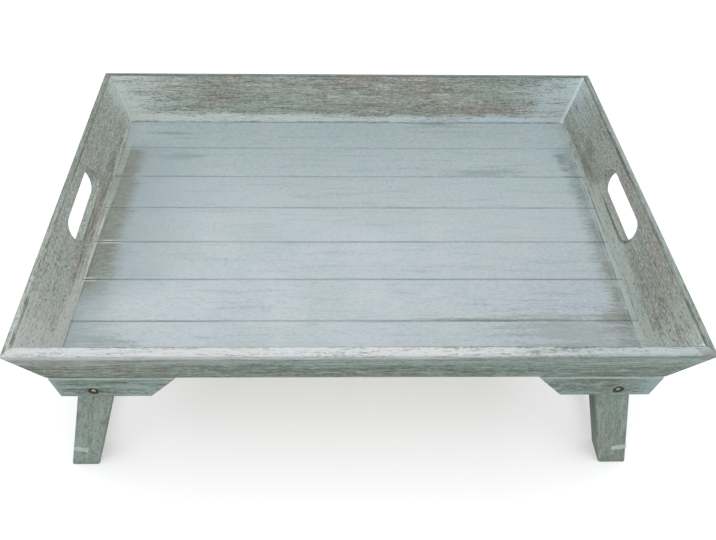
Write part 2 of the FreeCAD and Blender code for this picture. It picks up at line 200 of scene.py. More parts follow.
def make_wood_figure(net, given):
    """Figure of a board whose grain runs along X; each board has its own number."""
    shift = net.product(given["Board"], 1.37)
    place = net.add("VectorMath", {0: given["Place"], 1: net.combine(shift, shift, shift)}).outputs[0]
    wave = net.sway(net.noise(place, (0.06, 0.025, 0.025)), 0.003)
    waved = net.add("VectorMath", {0: place, 1: net.combine(0.0, wave, wave)}).outputs[0]
    return {
        "Lines": net.noise(waved, (0.013, 0.0011, 0.0011), 2.5, 0.6, 0.2),
        "Grit": net.noise(place, (0.003, 0.0013, 0.0013), 1.5, 0.6),
        "Streak": net.noise(waved, (0.07, 0.004, 0.004), 3.0, 0.6),
        "Zone": net.noise(place, (0.08, 0.035, 0.035), 2.0, 0.55),
        "Pores": net.noise(waved, (0.009, 0.0004, 0.0004), 2.0, 0.6),
    }


FIGURE_PARTS = ("Lines", "Grit", "Streak", "Zone", "Pores")
WOOD_FIGURE = shared_effect(
    "wood_figure", {"Place": "vector", "Board": "value"},
    dict.fromkeys(FIGURE_PARTS, "value"), make_wood_figure)


def make_limed_wood(net, given):
    """Dark-pored, limed wood under dry-brushed paint that the grain tears up."""
    figure = net.use(WOOD_FIGURE, Place=given["Place"], Board=given["Board"])
    lines, grit, streak, zone, pores = (figure[name] for name in FIGURE_PARTS)
    strokes = net.sum(net.sway(lines, 1.7), net.sway(streak, 0.9), net.sway(pores, 0.8))
    strokes = net.product(strokes, given["Stroke"])
    shade = net.sum(strokes, net.product(net.sway(grit, 1.2), given["Sand"]))
    dark = net.rise(shade, 0.0, -0.85)
    light = net.rise(shade, 0.05, 0.8)
    tears = net.sum(net.sway(lines, 0.5), net.sway(streak, 0.8))
    torn = net.sum(given["Cover"], net.product(tears, given["Stroke"]), net.sway(grit, 0.4))
    painted = net.rise(torn, 0.1, 0.95)
    wood = net.tint(net.rise(zone, 0.34, 0.66), given["Brown"], given["Grey"])
    wood = net.tint(net.product(dark, 0.9), wood, given["Deep"])
    wood = net.tint(net.product(light, 0.85), wood, given["Pale"])
    colour = net.tint(painted, wood, given["Paint"])
    colour = net.tint(net.product(dark, painted, 0.3), colour, given["Deep"])
    height = net.sum(
        net.product(painted, 0.4), net.product(light, 0.4), net.product(dark, -0.6),
        net.product(pores, 0.4))
    return {"Colour": colour, "Height": height, "Painted": painted}


TONE_PARTS = ("Brown", "Grey", "Deep", "Pale", "Paint")
LIMED_WOOD = shared_effect(
    "limed_wood", {"Place": "vector", "Board": "value", "Cover": "value", "Stroke": "value", "Sand": "value",
                   **dict.fromkeys(TONE_PARTS, "colour")},
    {"Colour": "colour", "Height": "value", "Painted": "value"}, make_limed_wood)


def make_ragged_band(net, given):
    """A band along an edge with a torn border: 1 at the edge and 0 beyond its reach."""
    tear = net.noise(given["Place"], (0.008, 0.004, 0.004), 4.0, 0.65)
    depth = net.math("DIVIDE", given["Distance"], given["Reach"])
    return {"Mask": net.rise(net.sum(depth, net.sway(tear, 0.9)), 1.05, 0.35)}


RAGGED_BAND = shared_effect(
    "ragged_band", {"Place": "vector", "Distance": "value", "Reach": "value"},
    {"Mask": "value"}, make_ragged_band)


# Wood finishes

def wood_tones(*colours):
    return {part: tone(*colour) for part, colour in zip(TONE_PARTS, colours)}


BACK_TONES = wood_tones((140, 138, 129), (138, 148, 141), (97, 97, 90), (182, 185, 177), (166, 174, 170))
LEFT_TONES = wood_tones((155, 153, 144), (149, 156, 148), (112, 109, 101), (192, 190, 183), (178, 179, 172))
RIGHT_TONES = wood_tones((147, 144, 135), (141, 147, 139), (105, 102, 95), (182, 183, 174), (166, 171, 164))
OUTER_TONES = wood_tones((116, 117, 107), (110, 127, 118), (71, 79, 70), (149, 164, 156), (133, 151, 144))
OUTER_WARM_PAINT = tone(148, 153, 146)
LEG_TONES = wood_tones((122, 126, 116), (116, 131, 122), (84, 92, 83), (150, 163, 154), (136, 152, 144))
CORNER_PAINT = tone(188, 196, 191)
CORNER_BLUE = tone(179, 193, 197)
LEFT_CORNER_PAINT = tone(193, 193, 189)
LEFT_FOOT_PAINT = tone(187, 188, 180)
RIGHT_FOOT_PAINT = tone(172, 180, 173)
BACK_GREEN = tone(141, 151, 143)
CREAM_PAINT = tone(190, 187, 174)
RIDGE_PAINT = tone(206, 213, 213)
WORN_EDGE = tone(146, 149, 143)
WORN_TIP = tone(124, 125, 119)
BARE_BROWN = tone(104, 99, 87)
DARK_EDGE = tone(74, 78, 72)
RUST = tone(132, 133, 100)
LEFT_RIM = tone(168, 174, 168)
LEFT_RIM_BACK = tone(128, 138, 130)
RIGHT_RIM = tone(138, 147, 139)
BACK_RIM = tone(124, 132, 124)
FRONT_RIM = tone(177, 182, 183)
FRONT_RIM_RIGHT = tone(157, 164, 165)
RIM_CREAM = tone(183, 180, 174)
BRACKET_BROWN = tone(108, 116, 107)
BRACKET_END_PAINT = tone(134, 152, 150)
LEDGE_PAINTED_LIGHT = tone(206, 216, 212)
SCREW_RING_DARK = tone(40, 46, 34)
LEG_PAINTED_SHADE = tone(46, 52, 48)
STRETCHER_PAINT = tone(164, 180, 171)
BARE_ROUGHNESS = 0.86
PAINT_ROUGHNESS = 0.66
WOOD_RELIEF = 0.0003
MIST_CELL = (0.022, 0.022, 0.022)
SMEAR_CELL = (0.045, 0.005, 0.005)
THIN_COVER = 0.12


def new_finish(name):
    """A material, its net, its shader's sockets, and a point's place and normal at rest."""
    material = bpy.data.materials.new(name)
    material.use_nodes = True
    net = Wiring(material.node_tree)
    shader = material.node_tree.nodes["Principled BSDF"].inputs
    piece = net.add("TexCoord").outputs
    return material, net, shader, piece["Object"], piece["Normal"]


def set_relief(net, shader, height, depth):
    bump = net.add("Bump", {"Strength": 1.0, "Distance": depth, "Height": height})
    net.join(bump.outputs[0], shader["Normal"])


def limed_surface(net, shader, grain_place, board, cover, grain, tones):
    """Limed wood joined to a shader's roughness and relief; gives its colour."""
    stroke, sand = grain
    wood = net.use(
        LIMED_WOOD, Place=grain_place, Board=board, Cover=cover, Stroke=stroke, Sand=sand, **tones)
    net.join(net.span(wood["Painted"], BARE_ROUGHNESS, PAINT_ROUGHNESS), shader["Roughness"])
    set_relief(net, shader, wood["Height"], WOOD_RELIEF)
    return wood["Colour"]


def rubbed_marks(net, marks, run, rise, fuzz):
    """How strongly the rubbed marks of a surface show at a place on it."""
    total = 0.0
    for middle_run, middle_rise, reach_run, reach_rise, strength in marks:
        along = net.math("DIVIDE", net.less(run, middle_run), reach_run)
        across = net.math("DIVIDE", net.less(rise, middle_rise), reach_rise)
        mark = net.rise(net.sum(net.apart(along, across), fuzz), 1.1, 0.1)
        total = net.greater(total, net.product(mark, strength))
    return total


def slot_edge(net, run, out, z):
    """The lower edge of a hand slot on a wall's inner face."""
    lean_sin, lean_cos = math.sin(WALL_LEAN), math.cos(WALL_LEAN)
    inward = net.less(RIM_X - RIM_WIDTH, out)
    down = net.less(RIM_Z, z)
    drop = net.sum(net.product(inward, lean_sin), net.product(down, lean_cos))
    depth = net.less(net.product(down, lean_sin), net.product(inward, lean_cos))
    beyond = net.greater(net.less(net.size(run), SLOT_HALF_RUN), 0.0)
    below = net.less(drop, SLOT_DROP)
    distance = net.less(net.apart(beyond, below), SLOT_RADIUS)
    return net.product(
        (distance, 0.0002, 0.001), (distance, 0.004, 0.0014), (depth, 0.0018, 0.001),
        (below, -0.004, 0.008))


def wall_places(net, place, normal, axis, sign, look):
    """Places and masks on a wall that its paint, tones and lines share."""
    at = SimpleNamespace()
    at.x, at.y, at.z = net.split(place)
    at.run, across = (at.x, at.y) if axis else (at.y, at.x)
    at.out = net.size(across)
    at.grain_place = net.combine(at.run, at.out, at.z)
    at.turned = net.product(net.split(normal)[axis], sign)
    at.inside = net.rise(at.turned, -0.5, -0.8)
    at.outside = net.rest(at.inside)
    at.near_rim = net.rise(at.z, RIM_Z - 0.006, RIM_Z - 0.0045)
    at.cut = net.product((at.turned, 0.75, 0.5), net.rest(at.near_rim), at.outside)
    at.inner = net.greater(at.inside, at.cut)
    at.outer = net.rest(at.inner)
    shift = MITRE_SHIFT if axis else -MITRE_SHIFT
    at.mitre = net.less(net.sum(at.out, shift), net.size(at.run))
    at.height = net.less(at.z, FLOOR_Z)
    at.mist = net.noise(place, MIST_CELL, 4.0, 0.6)
    at.smear = net.noise(at.grain_place, SMEAR_CELL, 3.0, 0.6)
    at.ragged = ragged_height(net, look, at)
    wrap = look["wrap"]
    at.rim = net.product((at.ragged, RIM_Z - wrap, RIM_Z - wrap / 2), at.outside)
    fuzz = net.sum(net.sway(at.smear, 1.2), net.sway(at.mist, 0.6))
    marks = rubbed_marks(net, look["marks"], at.run, at.height, fuzz)
    at.marked = net.product(marks, at.inside)
    at.corner = corner_mist(net, look, at)
    at.foot = foot_paint(net, look, at)
    at.rubbed = rubbed_bare(net, look, at)
    return at


def ragged_height(net, look, at):
    """Height with a misty sway: the rim's paint wraps over the edge down to it, less so to the right."""
    wrap = look["wrap"]
    to_right = net.product((at.run, 0.0, 0.2), wrap * -0.5)
    return net.sum(at.z, net.sway(at.mist, wrap / 3), to_right)


def corner_mist(net, look, at):
    """Pale mist that reaches in from the wall's corners."""
    risen = net.greater(net.rise(at.height, 0.004, 0.03), net.rise(at.y, 0.0, -0.05))
    reach = net.ramp(at.y, 0.0, -0.1, *look["mist"])
    return net.product(
        (at.mitre, reach, 0.0), net.span(at.mist, 0.3, 1.4), net.span(risen, look["mist_low"], 1.0),
        at.inside)


def foot_paint(net, look, at):
    """Pale paint along the wall's foot, left out where a mark is rubbed."""
    ended = net.ramp(at.run, *look["spread_end"], 0.65, 1.0)
    spread = net.product((at.run, *look["spread_run"]), ended)
    reach = net.sum(look["foot"], net.product(spread, look["spread"]))
    share = net.sum(net.math("DIVIDE", at.height, reach), net.sway(at.mist, 0.6))
    return net.product((share, 1.3, 0.3), at.inside, net.rest(at.marked))


def rubbed_bare(net, look, at):
    """Where brown wood shows: above the foot, in the rubbed marks and a little in the slot."""
    above_foot = net.product(
        (at.height, look["brown"], look["foot"]), (at.smear, 0.4, 0.58),
        (at.mitre, 0.0, 0.06), (at.run, *look["rub_run"]), at.inside, look["rub"])
    return net.greater(net.greater(above_foot, at.marked), net.product(at.cut, 0.15))


def wall_cover(net, look, at):
    """How well paint covers the wood, inside, outside under the rim and on the rim."""
    faded = net.product((at.y, 0.06, -0.17), look["fade"])
    pale = net.product(net.greater(at.corner, at.foot), look["pale_cover"])
    under_rim = net.rise(at.z, RIM_Z - 0.028, RIM_Z - 0.014)
    cover = net.blend(
        at.inside, net.span(under_rim, THIN_COVER, 0.75), net.sum(THIN_COVER, net.greater(faded, pale)))
    worn = net.product((at.run, 0.02, 0.12), look["rim_wear"])
    cover = net.blend(at.rim, cover, net.less(look["rim_cover"], worn))
    return net.less(cover, net.product(at.rubbed, 0.35))


def wall_tones(net, look, at):
    """Tones of the wood: brown where rubbed, darker low on the outside with painted shade, and greener to the
    back and right.
    """
    tones = {part: net.tint(at.inner, OUTER_TONES[part], look["tones"][part]) for part in TONE_PARTS}
    for part, share in (("Brown", 1.0), ("Grey", 1.0), ("Deep", 1.0), ("Pale", 0.6)):
        tones[part] = net.tint(net.product(at.rubbed, share), tones[part], BARE_BROWN)
    # Painted shade: the outer face made darker low down, fading out at its bottom edge.
    shaded = net.product((at.z, RIM_Z - 0.02, RIM_Z - 0.03), (at.z, UNDER_Z, UNDER_Z + 0.01), at.outer, 0.4)
    for part in ("Brown", "Grey"):
        tones[part] = net.tint(shaded, tones[part], OUTER_TONES["Deep"])
    to_left = net.product((at.x, -0.05, -0.2), at.outer, 0.75)
    tones["Grey"] = net.tint(to_left, tones["Grey"], OUTER_TONES["Brown"])
    to_right = net.product((at.x, 0.0, 0.15), at.outer, 0.6)
    tones["Brown"] = net.tint(to_right, tones["Brown"], OUTER_TONES["Grey"])
    to_back = net.product((at.y, 0.0, 0.12), at.inside, look["back_green"])
    tones["Brown"] = net.tint(net.greater(to_back, at.cut), tones["Brown"], BACK_GREEN)
    paint = net.tint(to_left, tones["Paint"], OUTER_WARM_PAINT)
    tones["Paint"] = wall_paint(net, look, at, paint)
    return tones


def wall_paint(net, look, at, colour):
    """The wall's paint, with the tints of its corners, foot and rim."""
    back_right = net.product((at.x, -0.1, 0.15), (at.y, 0.0, 0.12))
    corner_paint = net.tint(back_right, CORNER_PAINT, CORNER_BLUE)
    front_left = net.product((at.x, -0.1, -0.2), (at.y, 0.02, -0.08))
    corner_paint = net.tint(front_left, corner_paint, LEFT_CORNER_PAINT)
    colour = net.tint(at.corner, colour, corner_paint)
    colour = net.tint(at.foot, colour, look.get("foot_paint", corner_paint))
    creamy = net.product((at.mist, 0.42, 0.6), look["rim_cream"])
    rim_paint = net.tint(creamy, look["rim_paint"], RIM_CREAM)
    rim_paint = net.tint(net.rise(at.run, *look["rim_run"]), rim_paint, look["rim_far"])
    return net.tint(at.rim, colour, rim_paint)


def wall_grain(net, look, at):
    """Strength of the grain's strokes and of its sandy grit."""
    stroke, sand = look["grain"]
    return net.blend(at.inner, net.span(at.rim, 1.2, 0.9), stroke), net.blend(at.inner, 1.0, sand)


def line_rim(net, look, at, colour, rim_half):
    """Dark broken lines along both edges of the rim."""
    crest = net.product(at.near_rim, (at.turned, -0.9, -0.7), net.ramp(at.smear, 0.4, 0.6, 0.5, 1.0))
    inner, outer, share = look["lines"]
    for edge, reach in ((net.less(at.out, rim_half - RIM_WIDTH), inner), (net.less(rim_half, at.out), outer)):
        line = net.use(RAGGED_BAND, Place=at.grain_place, Distance=edge, Reach=reach)["Mask"]
        colour = net.tint(net.product(line, crest, share), colour, DARK_EDGE)
    return colour


def line_joints(net, look, at, colour):
    """The slot's dark lower edge, the joint at the floor and the pale ridge in a corner."""
    edge = net.product(
        slot_edge(net, at.run, at.out, at.z), (at.smear, 0.3, 0.55), (at.run, 0.032, 0.012),
        look["slot_line"])
    colour = net.tint(edge, colour, DARK_EDGE)
    joint = net.product((at.height, 0.0016, 0.0006), (at.mist, 0.42, 0.6), at.inside)
    colour = net.tint(net.product(joint, look["joint"]), colour, BARE_BROWN)
    to_right = net.ramp(at.x, -0.1, 0.1, 0.25, 0.9)
    ridge = net.product((at.mitre, 0.0035, 0.0008), at.inside, to_right, (at.mist, 0.3, 0.5))
    return net.tint(ridge, colour, RIDGE_PAINT)


def line_outside(net, look, at, colour):
    """The painted shadow line under the rim's paint, its worn front right tip and the mitre's seam."""
    wrap = look["wrap"]
    # Painted shadow: a thin dark line under the lower border of the rim's paint, toward the right.
    lip = net.product(
        (at.ragged, RIM_Z - wrap * 1.35, RIM_Z - wrap * 1.1),
        (at.ragged, RIM_Z - wrap * 0.8, RIM_Z - wrap * 0.95), (at.run, 0.0, 0.15), at.outer, look["lip"])
    colour = net.tint(lip, colour, DARK_EDGE)
    tip = net.product(
        (net.sum(at.x, net.sway(at.mist, 0.004)), 0.236, 0.241),
        (net.sum(at.y, net.sway(at.smear, 0.003)), -0.1688, -0.1712), (at.z, RIM_Z - 0.012, RIM_Z - 0.006),
        at.outside, 0.85)
    colour = net.tint(tip, colour, WORN_TIP)
    seam = net.product((at.mitre, 0.0006, 0.0001), at.outside)
    return net.tint(net.product(seam, 0.35), colour, DARK_EDGE)


def wall_finish(name, board, axis, sign, look):
    """A wall: grey-brown inside with misty corners and foot, rubbed along its rim, grey-green outside."""
    material, net, shader, place, normal = new_finish(name)
    at = wall_places(net, place, normal, axis, sign, look)
    cover, grain, tones = (make(net, look, at) for make in (wall_cover, wall_grain, wall_tones))
    colour = limed_surface(net, shader, at.grain_place, board, cover, grain, tones)
    colour = line_rim(net, look, at, colour, RIM_Y if axis else RIM_X)
    colour = line_joints(net, look, at, colour)
    colour = line_outside(net, look, at, colour)
    net.join(colour, shader["Base Color"])
    return material


EVERYWHERE = (-2.0, -1.0)
# How a wall looks. A pair of places along the wall says where an effect sets in and where it is full.
# tones, grain: its tones, and the strength of its grain's strokes and sandy grit
# mist, mist_low: reach of the corners' mist at the back and at the front, and its share low on the wall
# foot, spread, spread_run, spread_end: height of the pale foot, how much higher it gets and where
# pale_cover, foot_paint: how well mist and foot cover the wood, and the foot's own paint, if any
# brown, rub, rub_run: up to which height bare brown shows above the foot, how much and where
# fade, back_green: paint toward the front and green toward the back
# joint, slot_line: the dark joint at the floor and the slot's dark lower edge
# rim_paint, rim_far, rim_run: the rim's paint, the paint at its far end and where that comes in
# rim_cream, rim_cover, rim_wear, wrap: its cream, cover and wear, and how far it wraps over the edge
# lines, lip: reach and share of the dark lines along its inner and outer edge, and the painted shadow line
# under it
# marks: rubbed marks, by middle along the wall and above the floor, half length, half height and strength
PLAIN_WALL = dict(
    mist_low=0.9, spread=0.0, spread_run=EVERYWHERE, spread_end=EVERYWHERE, rub_run=EVERYWHERE, fade=0.0,
    back_green=0.0, slot_line=0.0, rim_run=EVERYWHERE, rim_cream=0.0, rim_wear=0.0, wrap=0.0045, lip=0.0,
    marks=())
WALL_LOOKS = {
    "front_wall": dict(
        PLAIN_WALL, tones=BACK_TONES, grain=(0.8, 0.9), mist=(0.06, 0.06), pale_cover=0.8, foot=0.008,
        brown=0.012, rub=0.5, joint=0.5, rim_paint=FRONT_RIM, rim_far=FRONT_RIM_RIGHT, rim_run=(0.06, 0.2),
        rim_cream=0.6, rim_cover=0.98, rim_wear=0.24, wrap=0.009, lines=(0.0019, 0.00002, 0.65), lip=0.4),
    "back_wall": dict(
        PLAIN_WALL, tones=BACK_TONES, grain=(0.75, 0.95), mist=(0.09, 0.09), pale_cover=0.82, foot=0.008,
        spread=0.005, spread_run=(0.02, -0.12), brown=0.02, rub=0.2, joint=0.65, rim_paint=BACK_RIM,
        rim_far=BACK_RIM, rim_cover=0.1, lines=(0.0035, 0.0045, 0.7)),
    "left_wall": dict(
        PLAIN_WALL, tones=LEFT_TONES, grain=(0.4, 1.35), mist=(0.045, 0.095), mist_low=0.6, pale_cover=0.78,
        foot_paint=LEFT_FOOT_PAINT, foot=0.0045, spread=0.0115, spread_run=(0.0, -0.13), brown=0.02, rub=0.6,
        rub_run=(-0.125, -0.06), fade=0.35, back_green=0.6, joint=0.5, slot_line=0.25, rim_paint=LEFT_RIM,
        rim_far=LEFT_RIM_BACK, rim_run=(-0.12, 0.02), rim_cover=0.55, lines=(0.0024, 0.0014, 0.65),
        marks=((-0.127, 0.019, 0.017, 0.008, 0.4),)),
    "right_wall": dict(
        PLAIN_WALL, tones=RIGHT_TONES, grain=(0.5, 1.15), mist=(0.08, 0.08), mist_low=0.35, pale_cover=0.7,
        foot_paint=RIGHT_FOOT_PAINT, foot=0.005, spread=0.015, spread_run=(0.07, 0.02),
        spread_end=(-0.065, -0.03), brown=0.026, rub=0.5, rub_run=(0.02, 0.06), back_green=0.7, joint=0.75,
        slot_line=0.85, rim_paint=RIGHT_RIM, rim_far=RIGHT_RIM, rim_cover=0.6, lines=(0.0032, 0.0008, 0.95),
        marks=((-0.120, 0.017, 0.020, 0.008, 0.5), (-0.146, 0.031, 0.009, 0.008, 0.5),
               (0.084, 0.021, 0.016, 0.009, 0.5))),
}


FLOOR_COOL = tone(149, 161, 164)
FLOOR_GREEN = tone(149, 162, 160)
FLOOR_LILAC = tone(155, 160, 168)
FLOOR_CREAM = tone(158, 165, 162)
FLOOR_WHITE = tone(168, 174, 178)
FLOOR_DULL = tone(122, 135, 138)
FLOOR_BARE = tone(109, 113, 103)
FLOOR_SMUDGE = tone(99, 112, 111)
FLOOR_FILLER = tone(145, 154, 147)
FLOOR_LINE = tone(80, 88, 88)
PANEL_DARK = tone(146, 138, 124)
PANEL_LIGHT = tone(172, 165, 151)
PANEL_STREAK = tone(158, 150, 136)
FLOOR_RELIEF = 0.0002
# Rubbed marks on the floor: middle in X and Y, half length along X, half width along Y and strength
FLOOR_MARKS = (
    (-0.188, 0.134, 0.036, 0.005, 0.55),
    (-0.166, 0.097, 0.022, 0.010, 0.4),
    (0.092, 0.150, 0.034, 0.005, 0.6),
    (0.130, 0.071, 0.062, 0.009, 0.45),
    (0.125, -0.109, 0.090, 0.003, 0.65),
    (0.172, -0.120, 0.075, 0.030, 0.4),
    (0.209, -0.109, 0.028, 0.016, 0.75),
    (0.213, 0.092, 0.007, 0.024, 0.75),
    (0.196, -0.140, 0.010, 0.016, 0.4),
    (-0.200, -0.128, 0.026, 0.012, 0.45),
)


def floor_places(net, place):
    """Places and masks on the floor that its paint, bare bands and lines share."""
    at = SimpleNamespace(place=place)
    at.x, at.y, _ = net.split(place)
    at.plank_share = net.sum(net.math("DIVIDE", at.y, PLANK_PITCH), 0.5)
    figure = net.use(WOOD_FIGURE, Place=place, Board=net.math("FLOOR", at.plank_share))
    at.lines, at.grit, at.streak, at.zone, at.pores = (figure[name] for name in FIGURE_PARTS)
    at.soft = net.noise(place, (0.03, 0.02, 0.02), 3.0, 0.6)
    at.to_left = net.sum(at.x, FLOOR_EDGE_X)
    at.off_strip = net.less(at.to_left, net.math("MULTIPLY_ADD", at.y, 0.028, 0.0015))
    to_right = net.less(FLOOR_EDGE_X, at.x)
    at.from_crack = net.less(to_right, net.math("MULTIPLY_ADD", at.y, -0.02, 0.0035))
    at.frayed = net.sum(net.sway(at.soft, 0.008), net.sway(at.lines, 0.008), net.sway(at.streak, 0.006))
    at.left = net.product(
        (net.sum(at.to_left, at.frayed), 0.031, 0.014), (at.y, 0.113, 0.104), (at.y, -0.11, -0.05))
    at.rubbed = rubbed_ends(net, at)
    return at


def rubbed_ends(net, at):
    """Bands at both ends that are rubbed bare, brushed at their borders."""
    right = net.product(
        (net.sum(at.from_crack, at.frayed), 0.018, 0.004), (at.from_crack, 0.0, 0.0025),
        (at.y, 0.125, 0.09), net.ramp(at.soft, 0.35, 0.6, 0.55, 0.95))
    mottle = net.rise(net.sum(at.grit, net.sway(at.lines, 0.4)), 0.75, 0.3)
    return net.product(net.greater(at.left, right), net.span(mottle, 0.6, 1.0))


def plank_paint(net, at):
    """Brushed pale paint: cloudy cool and warm tints, lighter to the front with painted light and duller to
    the back with painted shade.
    """
    x, y = at.x, at.y
    place = net.combine(x, y, 0.0)
    cloud = net.noise(place, (0.11, 0.07, 0.07), 3.0, 0.55)
    haze = net.noise(place, (0.05, 0.04, 0.04), 3.0, 0.6, 0.5)
    front = net.rise(y, 0.12, -0.1)
    colour = net.tint(net.rise(cloud, 0.34, 0.66), FLOOR_GREEN, FLOOR_COOL)
    colour = net.tint(net.product(front, (cloud, 0.3, 0.65)), colour, FLOOR_LILAC)
    colour = net.tint(net.product((haze, 0.45, 0.7), 0.6), colour, FLOOR_CREAM)
    hazy = net.ramp(haze, 0.3, 0.65, 0.2, 0.6)
    # Painted light: the floor made whiter toward its front left.
    bright = net.product(front, (x, 0.18, -0.04), hazy)
    colour = net.tint(bright, colour, FLOOR_WHITE)
    # Painted shade: the floor made duller toward the back.
    back = net.product((y, -0.04, 0.15), 0.38)
    right = net.product((x, 0.05, 0.2), (y, 0.04, -0.08), 0.2)
    brushed = net.product((at.streak, 0.48, 0.3), 0.3)
    dull = net.sum(
        back, right, brushed, net.product((at.grit, 0.5, 0.3), 0.3),
        net.product((at.lines, 0.45, 0.25), 0.25), net.product((at.pores, 0.48, 0.28), 0.2))
    colour = net.tint(dull, colour, FLOOR_DULL)
    fleck = net.product((at.grit, 0.52, 0.7), 0.35)
    return net.tint(fleck, colour, FLOOR_WHITE)


def floor_wear(net, at, colour):
    """Rubbed marks, a painted shadow beside the left end and the bare bands at both ends."""
    y = at.y
    fuzz = net.sum(net.sway(at.streak, 1.2), net.sway(at.lines, 0.7), net.sway(at.grit, 0.3))
    smudge = net.tint(net.rise(y, -0.05, -0.1), FLOOR_SMUDGE, FLOOR_BARE)
    colour = net.tint(rubbed_marks(net, FLOOR_MARKS, at.x, y, fuzz), colour, smudge)
    # Painted shadow of the left wall on the floor beside it, narrower at the very front.
    from_front = net.rise(y, -0.1, -0.05)
    painted_shadow_reach = net.rise(at.to_left, net.span(from_front, 0.045, 0.105), net.span(from_front, 0.0, 0.02))
    painted_wall_shadow = net.product(painted_shadow_reach, (y, 0.135, 0.1), net.span(at.soft, 0.3, 0.8))
    colour = net.tint(painted_wall_shadow, colour, FLOOR_DULL)
    bare = net.tint(net.rise(at.soft, 0.45, 0.75), FLOOR_BARE, BARE_BROWN)
    cool = net.product((at.x, -0.1, 0.1), (y, -0.08, 0.04))
    return net.tint(at.rubbed, colour, net.tint(cool, bare, FLOOR_SMUDGE))


def side_joints(net, at, colour):
    """The filler strips at both ends, with the cream and the dark cracks along them."""
    y, soft = at.y, at.soft
    strip_half = net.ramp(y, 0.0, 0.05, 0.0026, 0.0042)
    brushed = net.rise(net.sum(at.lines, net.sway(soft, 0.5)), 0.3, 0.6)
    to_front = net.rise(y, 0.15, 0.1)
    strip = net.rise(net.less(net.size(at.off_strip), strip_half), 0.0, -0.0016)
    filled = net.greater(strip, net.rise(at.from_crack, 0.0005, -0.0005))
    filled = net.product(filled, to_front, net.span(brushed, 0.35, 0.85))
    colour = net.tint(filled, colour, FLOOR_FILLER)
    beside = net.product((at.off_strip, -0.0024, -0.0042), to_front, 0.8)
    colour = net.tint(beside, colour, FLOOR_BARE)
    cream = net.product(
        (net.size(at.off_strip), 0.0015, 0.0005), (y, 0.06, -0.01), (y, -0.15, -0.07),
        net.ramp(soft, 0.42, 0.58, 0.1, 0.65))
    colour = net.tint(cream, colour, CREAM_PAINT)
    left_edge = net.rise(net.size(net.less(at.off_strip, strip_half)), 0.0009, 0.0003)
    right_edge = net.rise(net.size(at.from_crack), 0.001, 0.0004)
    crack = net.greater(net.product(left_edge, 0.6), right_edge)
    crack = net.product(crack, (y, 0.125, 0.1), net.ramp(soft, 0.4, 0.6, 0.2, 0.85))
    return net.tint(crack, colour, FLOOR_LINE)


def groove_lines(net, at, colour):
    """Dark broken lines in the grooves, their pale arrises and the dark joints at front and back."""
    off_groove = net.less(at.plank_share, net.math("ROUND", at.plank_share))
    to_groove = net.product(net.size(off_groove), PLANK_PITCH)
    line = net.product((to_groove, 0.0007, 0.0002), net.ramp(at.zone, 0.35, 0.65, 0.0, 0.6))
    colour = net.tint(line, colour, FLOOR_LINE)
    arris = net.rise(net.size(net.less(to_groove, 0.0015)), 0.0008, 0.0003)
    arris = net.product(arris, at.left, (at.soft, 0.4, 0.55), 0.7)
    colour = net.tint(arris, colour, CORNER_PAINT)
    to_joint = net.less(FLOOR_EDGE_Y, net.size(at.y))
    joint = net.use(RAGGED_BAND, Place=at.place, Distance=to_joint, Reach=0.0022)["Mask"]
    return net.tint(net.product(joint, 0.6), colour, FLOOR_LINE)


def floor_underside(net, at):
    """Plain unpainted panel."""
    panel = net.tint(net.rise(at.lines, 0.35, 0.65), PANEL_DARK, PANEL_LIGHT)
    return net.tint(net.product((at.streak, 0.45, 0.7), 0.5), panel, PANEL_STREAK)


def floor_finish():
    """Pale brushed paint on grooved planks, rubbed bare along both ends and in a few marks."""
    material, net, shader, place, normal = new_finish("painted_planks")
    at = floor_places(net, place)
    colour = plank_paint(net, at)
    for effect in (floor_wear, side_joints, groove_lines):
        colour = effect(net, at, colour)
    below = net.rise(net.split(normal)[2], -0.3, -0.7)
    net.join(net.tint(below, colour, floor_underside(net, at)), shader["Base Color"])
    net.join(net.span(net.sum(at.rubbed, below), 0.6, 0.85), shader["Roughness"])
    relief = net.sum(
        net.product(at.lines, 0.5), net.product(at.grit, 0.5), net.product(at.pores, 0.3),
        net.product(at.rubbed, -0.3))
    set_relief(net, shader, relief, FLOOR_RELIEF)
    return material


def pivot_distance(net, place):
    """How far a place lies from the axis of the nearest pivot screw."""
    x, _, z = net.split(place)
    return net.apart(net.less(net.size(x), PIVOT_X), net.less(z, PIVOT_Z))


BRACKET_COVER = 0.22
BRACKET_GRAIN = (1.1, 0.9)


def bracket_finish(name, board, end_wash, inner_wash, rust):
    """Grey-green cheek board with a painted highlight on its top ledge, a paler outer end, a rust drip below
    its screw and a dark ring about it.
    """
    material, net, shader, place, normal = new_finish(name)
    x, _, z = net.split(place)
    off_middle = net.size(x)
    cover = net.sum(
        BRACKET_COVER, net.product((off_middle, 0.21, 0.235), end_wash),
        net.product((off_middle, 0.192, 0.168), inner_wash))
    paint = net.tint(net.rise(off_middle, 0.2, 0.23), OUTER_TONES["Paint"], BRACKET_END_PAINT)
    tones = dict(OUTER_TONES, Brown=BRACKET_BROWN, Paint=paint)
    colour = limed_surface(net, shader, place, board, cover, BRACKET_GRAIN, tones)
    # Painted highlight: the upward faces at the top of the board made pale.
    upward = net.rise(net.split(normal)[2], 0.4, 0.8)
    ledge = net.product(upward, (z, UNDER_Z - 0.002, UNDER_Z), 0.9)
    colour = net.tint(ledge, colour, LEDGE_PAINTED_LIGHT)
    across = net.size(net.less(off_middle, PIVOT_X))
    drip = net.product((across, 0.0035, 0.0015), (z, PIVOT_Z, PIVOT_Z - 0.004), rust)
    colour = net.tint(drip, colour, RUST)
    # A dark ring on the wood about the screw head.
    dark_screw_ring = net.product((pivot_distance(net, place), 0.0052, 0.0039), 0.85)
    colour = net.tint(dark_screw_ring, colour, SCREW_RING_DARK)
    net.join(colour, shader["Base Color"])
    return material


LEG_FOOT_HALF = 0.0155
LEG_TAPER = 0.04
LEG_COVER = {-1: 0.4, 1: 0.2}
LEG_EDGE_COVER = 0.75
LEG_GRAIN = (0.6, 0.8)


